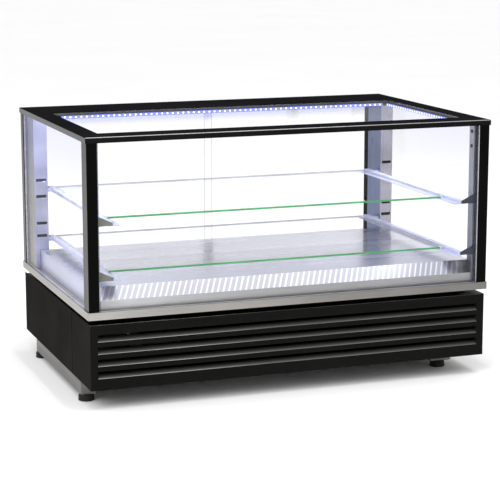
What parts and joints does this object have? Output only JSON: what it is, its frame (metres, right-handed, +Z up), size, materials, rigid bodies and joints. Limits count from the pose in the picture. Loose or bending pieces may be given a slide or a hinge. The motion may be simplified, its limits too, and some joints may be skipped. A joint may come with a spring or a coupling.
{
  "type": "hot food display case",
  "caption": "Countertop heated display case: glass cabin with glass shelves over a stainless deck and louvred base, sliding rear doors, lit top frame, rubber feet.",
  "frame": {"origin": "on the ground plane under the middle of the case", "axes": "+X to the case's right as the customer sees it, +Y from the front glass to the rear doors, +Z up"},
  "size_m": [1.2, 0.78, 0.75],
  "materials": {
    "stainless": "brushed along its length",
    "bright_stainless": "fine brushed, bright",
    "plinth_steel": "plain mill finish",
    "black_paint": "satin powder coat",
    "charcoal_paint": "satin powder coat",
    "cap_black": "smooth satin",
    "bracket_slate": "satin",
    "rubber": "matt",
    "clear_glass": "clear toughened float glass",
    "shelf_glass": "clear toughened glass with green polished edges",
    "lamp_diffuser": "lamp strip, cool white",
    "black_plastic": "fine grained",
    "heater_sheath": "heat tinted"
  },
  "bodies": {
    "case": {"base_floor": "stainless", "base_lid": "black_paint", "cable_gland": "black_plastic", "cap_beam_front": "cap_black", "cap_beam_left": "cap_black", "cap_beam_rear": "cap_black", "cap_beam_right": "cap_black", "chassis_plinth": "plinth_steel", "door_track_lower": "stainless", "door_track_upper": "black_paint", "fan_frame": "black_plastic", "foot_front_left": "rubber", "foot_front_right": "rubber", "foot_rear_left": "rubber", "foot_rear_right": "rubber", "front_glass": "clear_glass", "front_louvre_cover": "black_paint", "front_post_left": "black_paint", "front_post_right": "black_paint", "front_riser": "bright_stainless", "front_upright_left": "stainless", "front_upright_right": "stainless", "heated_deck": "bright_stainless", "heater_element": "heater_sheath", "led_driver": "stainless", "led_strip_front": "lamp_diffuser", "led_strip_left": "lamp_diffuser", "led_strip_rear": "lamp_diffuser", "led_strip_right": "lamp_diffuser", "lower_shelf_arm_left": "bracket_slate", "lower_shelf_arm_right": "bracket_slate", "lower_shelf_glass": "shelf_glass", "neck_rail_front": "black_paint", "neck_rail_rear": "black_paint", "rear_post_left": "black_paint", "rear_post_right": "black_paint", "rear_service_panel": "black_paint", "side_glass_left": "clear_glass", "side_glass_right": "clear_glass", "side_panel_left": "charcoal_paint", "side_panel_right": "charcoal_paint", "slotted_pillar_left": "stainless", "slotted_pillar_right": "stainless", "stainless_worktop": "stainless", "thermostat": "black_plastic", "top_glass": "clear_glass", "upper_shelf_arm_left": "bracket_slate", "upper_shelf_arm_right": "bracket_slate", "upper_shelf_glass": "shelf_glass"},
    "left_door": {"rear_door_glass_left": "clear_glass", "rear_door_stile_left": "black_paint", "rear_door_handle_left": "black_plastic"},
    "right_door": {"rear_door_glass_right": "clear_glass", "rear_door_stile_right": "black_paint", "rear_door_handle_right": "black_plastic"},
    "knob": {"thermostat_knob": "black_plastic"},
    "heat_rocker": {"heat_switch": "black_plastic"},
    "light_rocker": {"light_switch": "black_plastic"},
    "fan": {"fan_rotor": "black_plastic"}
  },
  "joints": [
    {"name": "left_door_slide", "type": "slide", "parent": "case", "child": "left_door", "axis": [1, 0, 0], "range_m": [0, 0.528]},
    {"name": "right_door_slide", "type": "slide", "parent": "case", "child": "right_door", "axis": [-1, 0, 0], "range_m": [0, 0.528]},
    {"name": "thermostat_turn", "type": "hinge", "parent": "case", "child": "knob", "pos_m": [0.33, 0.3676, 0.171], "axis": [0, 1, 0], "range_deg": [0, 270]},
    {"name": "heat_switch_rock", "type": "hinge", "parent": "case", "child": "heat_rocker", "pos_m": [0.42, 0.3658, 0.171], "axis": [-1, 0, 0], "range_deg": [0, 16]},
    {"name": "light_switch_rock", "type": "hinge", "parent": "case", "child": "light_rocker", "pos_m": [0.47, 0.3658, 0.171], "axis": [-1, 0, 0], "range_deg": [0, 16]},
    {"name": "fan_spin", "type": "hinge", "parent": "case", "child": "fan", "pos_m": [0, -0.04, 0.2122], "axis": [0, 0, 1], "continuous": true}
  ]
}
